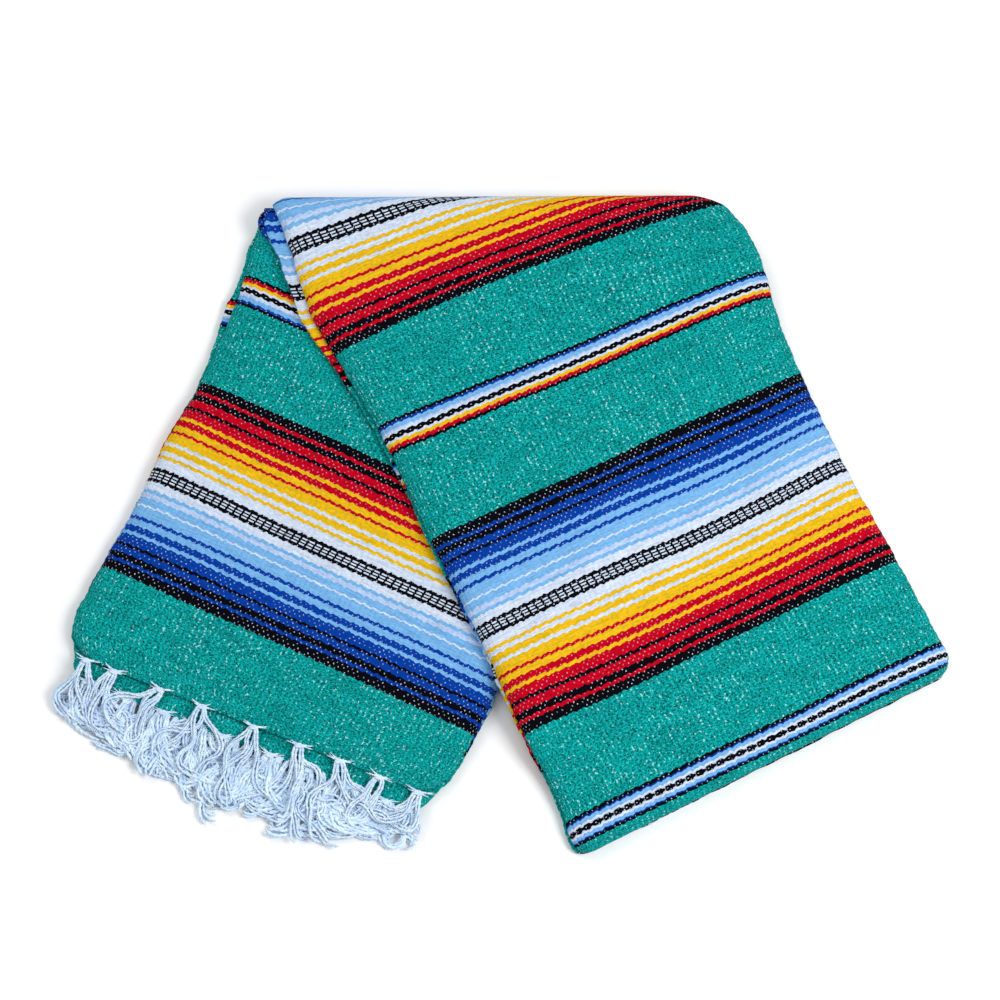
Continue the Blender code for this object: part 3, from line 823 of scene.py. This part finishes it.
def knotted_bundle(wander, centre, heading, from_left, locks, strands, lie):
    """A knot on the hem: a bound bundle, its cross threads, and the locks that hang from it."""
    way = Vector((-math.sin(heading), -math.cos(heading), 0.0))
    aside = Vector((-way.y, way.x, 0.0))
    along, out = Vector((*HEM_WAY, 0.0)), Vector((*HEM_OUT, 0.0))
    # The cord that binds the bundle goes twice around it.
    ring = []
    for k in range(25):
        turn = 4 * math.pi * k / 24
        around = aside * KNOT_HALF * math.cos(turn) + Vector((0, 0, KNOT_HEIGHT * math.sin(turn)))
        ring.append((centre + around + way * (0.001 + BINDING * k / 24), 1.0))
    routes = [ring]
    # Cross threads run out of the weave on both sides of the knot, along the hem, and fray.
    for side in (-1, 1):
        for _ in range(4):
            reach, lean = wander.uniform(0.005, 0.0115), wander.uniform(-0.0036, 0.0012)
            route = []
            for k in range(7):
                share = k / 6
                bow = out * (lean * share + 0.0006 * math.sin(share * 3))
                place = centre + along * side * reach * share + bow
                route.append((place + Vector((0, 0, 0.0007 - 0.0004 * share)), 1.0 - 0.78 * share))
            routes.append(route)
    parting = wander.uniform(0.12, 0.42)
    for k in range(locks):
        group = -1 if k < locks / 2 else 1
        start = centre + aside * (-group * 0.0016) + Vector((0, 0, wander.uniform(-0.0004, 0.0008)))
        turn = heading + group * parting + wander.gauss(0, 0.07)
        side = 1 if wander.random() < from_left else -1
        routes += lock(wander, start, turn, FRINGE * wander.uniform(0.80, 1.0), lie, side, strands)
    return routes


def fringe_row(name, seed, knots, past, locks, strands, loose, lie):
    """A row of knotted bundles along a hem, this far past the upper one, each with its locks
    of strands, and some loose locks tangled among them."""
    wander = random.Random(seed)
    routes = []
    for place in knots:
        centre = Vector((*(HEM_LEFT + HEM_WAY * place + HEM_OUT * past),
                         float(np.interp(past, [d for d, _, _ in lie], [h for _, _, h in lie]))))
        share = place / (HEM_RIGHT - HEM_LEFT).length
        heading = float(np.interp(share, *zip(*HEADINGS))) + wander.gauss(0, 0.15)
        routes += knotted_bundle(wander, centre, heading, share, locks, strands, lie)
    for k in range(loose):
        share = 0.015 + 0.965 * (k + wander.random()) / loose
        from_hem = past - 0.002 if k % 5 < 3 else past + wander.uniform(0.004, 0.028)
        start = HEM_LEFT.lerp(HEM_RIGHT, share) + HEM_OUT * from_hem
        side = 1 if wander.random() < share else -1
        heading = OUT_HEADING + wander.gauss(0.05, 0.38 if k % 5 < 3 else 0.8)
        routes += lock(wander, (*start, wander.uniform(0.004, 0.0095)), heading,
                       wander.uniform(0.036, 0.058), lie, side, LOOSE_STRANDS, LOOSE_THICKNESS)
    return threads(name, routes)


lower_fringe = fringe_row(
    "lower_fringe_threads", 11, LOWER_KNOTS, HEM_STEP - 0.001, 4, 4, 44, LOWER_LIE)
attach(lower_fringe, "root")
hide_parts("lower_fringe")

# ==== the tangle in the fringe ==============================================================
# Between the two rows, strands that worked loose from their bundles lie across the others
# in short curls.
TANGLE_LIE = [(0.0, 0.0060, 0.0100), (0.0155, 0.0056, 0.0100), (0.0190, 0.0016, 0.0088),
              (0.030, 0.0016, 0.0074), (0.045, 0.0016, 0.0060), (0.085, 0.0016, 0.0036)]
tangle = fringe_row("tangled_threads", 17, [], HEM_STEP, 0, 0, 118, TANGLE_LIE)
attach(tangle, "root")

# ==== the upper fringe =====================================================================
# The upper hems' warp ends, knotted in the same way. They hang over the lower hem and lie on
# the lower fringe.
UPPER_LIE = [(0.0, 0.0152, 0.0160), (0.004, 0.0130, 0.0150), (0.0150, 0.0118, 0.0136),
             (0.0200, 0.0090, 0.0128), (0.030, 0.0048, 0.0112), (0.045, 0.0040, 0.0092),
             (0.085, 0.0014, 0.0052)]
UPPER_KNOTS = [0.010, 0.033, 0.071, 0.105, 0.147, 0.184, 0.216, 0.249, 0.280]
upper_fringe = fringe_row("upper_fringe_threads", 29, UPPER_KNOTS, 0.0, 4, 3, 0, UPPER_LIE)
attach(upper_fringe, "root")
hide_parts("upper_fringe")

# ==== the right leg's lower layers ========================================================
# The right leg is the upper half of the folded serape. It lies on the left leg, comes down
# beside it, and ends in the fold across the middle of the cloth.
RIGHT_LEG_THICKNESS = 0.0170
DRAPE_START, DRAPE = 0.012, 0.085  # where it starts down past the left leg, and over how far
RIGHT_LEG_LEFT_EDGE = [
    (-0.187, 0.262), (-0.171, 0.222), (-0.160, 0.186), (-0.149, 0.154),
    (-0.128, 0.118), (-0.092, 0.052), (-0.055, -0.031), (-0.017, -0.110),
    (0.012, -0.176), (0.036, -0.220), (0.052, -0.268),
]
RIGHT_LEG_RIGHT_EDGE = [
    (0.160, 0.2635), (0.177, 0.247), (0.192, 0.225), (0.202, 0.200),
    (0.215, 0.154), (0.256, 0.051), (0.297, -0.035), (0.338, -0.122),
]
RIDGE_END = [
    (0.0170, 0.0), (0.0090, 0.0022), (0.0034, 0.0068), (0.0006, 0.0125),
    (0.0, 0.0180), (0.0010, 0.0245), (0.0028, 0.0308),
]
FOLD_END = [(0.0110, 0.0), (0.0055, 0.0014), (0.0015, 0.0048), (0.0, 0.0090), (0.0005, 0.0144)]
FOLD_UNDER = [(0.0022, 0.0162), (0.0045, 0.0167)]


def bed_height(x, y):
    """Height of what the right leg lies on: the left leg, then down to the surface."""
    (x0, y0), (x1, y1) = LEFT_LEG_RIGHT_EDGE[1], LEFT_LEG_RIGHT_EDGE[4]
    length = math.hypot(x1 - x0, y1 - y0)
    beside = ((x - x0) * (y0 - y1) + (y - y0) * (x1 - x0)) / length
    share = np.clip((beside - DRAPE_START) / DRAPE, 0.0, 1.0)
    return BED * 0.5 * (1 + np.cos(math.pi * share))


def right_top(x, y):
    return bed_height(x, y) + RIGHT_LEG_THICKNESS


right_leg = {
    "left": smooth_edge(RIGHT_LEG_LEFT_EDGE), "right": smooth_edge(RIGHT_LEG_RIGHT_EDGE),
    "corners": (0.016, 0.016),
    "start": RIDGE_END, "start_points": 26,
    "finish": FOLD_END, "finish_under": FOLD_UNDER, "finish_points": 16,
    "total": (BED + RIGHT_LEG_THICKNESS, RIGHT_LEG_THICKNESS),
    "top": right_top, "under": bed_height,
    "peek": [(0.00, 0.0020), (0.02, 0.0070), (0.04, 0.0120), (0.08, 0.0100), (0.14, 0.0065),
             (0.20, 0.0030), (0.30, 0.0015)],
    "right_peek": 0.0004, "step": 0.0004, "free_end": 1,
    "wefts": [(0.5200, 0.2705, 20.5, 0.0), (0.4380, 0.1882, 23.6, -0.40), (0.3485, 0.0933, 23.9, 0.08),
              (0.2590, -0.0005, 25.2, 0.19), (0.0863, -0.1852, 26.4, 0.0), (0.0, -0.2758, 26.35, 0.0)],
    "creases": [
        (0.13, 0.24, -0.03, -0.10, 0.030, 0.0010), (0.18, 0.20, 0.02, 0.10, 0.020, -0.0008),
        (0.05, 0.06, 0.10, -0.16, 0.024, -0.0009), (0.16, 0.11, 0.27, -0.08, 0.018, 0.0009),
        (-0.12, 0.17, 0.06, 0.22, 0.015, -0.0007), (0.03, -0.12, 0.20, -0.10, 0.020, 0.0007),
        (0.19, 0.20, 0.10, 0.13, 0.010, -0.0009), (0.155, 0.245, 0.12, 0.17, 0.009, 0.0008),
    ],
}
right_leg["rim"] = leg_rim(right_leg)
right_lower = folded_edges(
    "right_leg_lower_folds", right_leg,
    [(1.0, -0.0008, 0.0047, 0.0064, 0.044, 0.0055), (1.0, -0.0012, 0.0065, 0.0082, 0.046, 0.0060)],
    wool, 7)
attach(right_lower, "root")
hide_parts("right_leg_hidden_layers")

# ==== the right leg's second layer ========================================================
# The next layer down slipped as the packet was folded, so it shows at the left side near
# the ridge, with its bands lower than those of the outer layer.
right_second = folded_edges(
    "right_leg_second_fold", right_leg, [(1.0, 0.0, 0.0019, 0.0046, 0.031, 0.0)], wool, 9)
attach(right_second, "root")
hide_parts("right_leg_second_layer")

# ==== the right leg's outer layer =========================================================
# The layer that shows on top. It rolls over the ridge and down to the surface behind, drapes
# from the left leg down beside it, and turns under at the fold.
points, weave = leg_top(right_leg)
right_outer = laid_grid("right_leg_outer_cloth", points, weave, wool)
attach(right_outer, "root")
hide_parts("right_leg_outer_layer")

# ==== the studio ===========================================================================
# A pale floor to lie on, soft light from two sides and above, and a camera that looks down
# at the serape. None of them is part of it.
floor_mesh = bmesh.new()
bmesh.ops.create_grid(floor_mesh, x_segments=1, y_segments=1, size=6.0)
mesh = bpy.data.meshes.new("floor")
floor_mesh.to_mesh(mesh)
floor_mesh.free()
floor = in_scene("floor", mesh)
pale = bpy.data.materials.new("pale_floor")
pale.use_nodes = True
paint = pale.node_tree.nodes["Principled BSDF"].inputs
paint["Base Color"].default_value = (0.93, 0.93, 0.93, 1.0)
paint["Roughness"].default_value = 0.9
paint["Specular IOR Level"].default_value = 0.1
mesh.materials.append(pale)

world = bpy.data.worlds.new("studio")
world.use_nodes = True
sky = world.node_tree.nodes["Background"].inputs
sky["Color"].default_value = (0.96, 0.98, 1.0, 1.0)
sky["Strength"].default_value = 0.62
bpy.context.scene.world = world


def soft_light(name, place, size, power):
    """A round soft light that points at the middle of the serape."""
    light = bpy.data.lights.new(name, "AREA")
    light.shape = "DISK"
    light.size = size
    light.energy = power
    lamp = in_scene(name, light)
    lamp.location = place
    lamp.rotation_euler = (-Vector(place)).to_track_quat("-Z", "Y").to_euler()


soft_light("key_light", (1.0, -0.5, 1.4), 0.8, 19.0)
soft_light("fill_light", (-0.9, 1.1, 1.7), 1.2, 12.0)

CAMERA_ELEVATION = math.radians(70.0)
CAMERA_DISTANCE = 2.6
LENS = 122.1  # in mm
AIM = Vector((-0.0046, 0.0144, 0.0052))
camera_data = bpy.data.cameras.new("camera")
camera_data.lens = LENS
camera_data.sensor_width = 36.0
camera = in_scene("camera", camera_data)
towards = Vector((0.0, -math.cos(CAMERA_ELEVATION), math.sin(CAMERA_ELEVATION)))
camera.location = AIM + CAMERA_DISTANCE * towards
camera.rotation_euler = (AIM - camera.location).to_track_quat("-Z", "Y").to_euler()
bpy.context.scene.camera = camera
bpy.context.scene.view_settings.view_transform = "Standard"
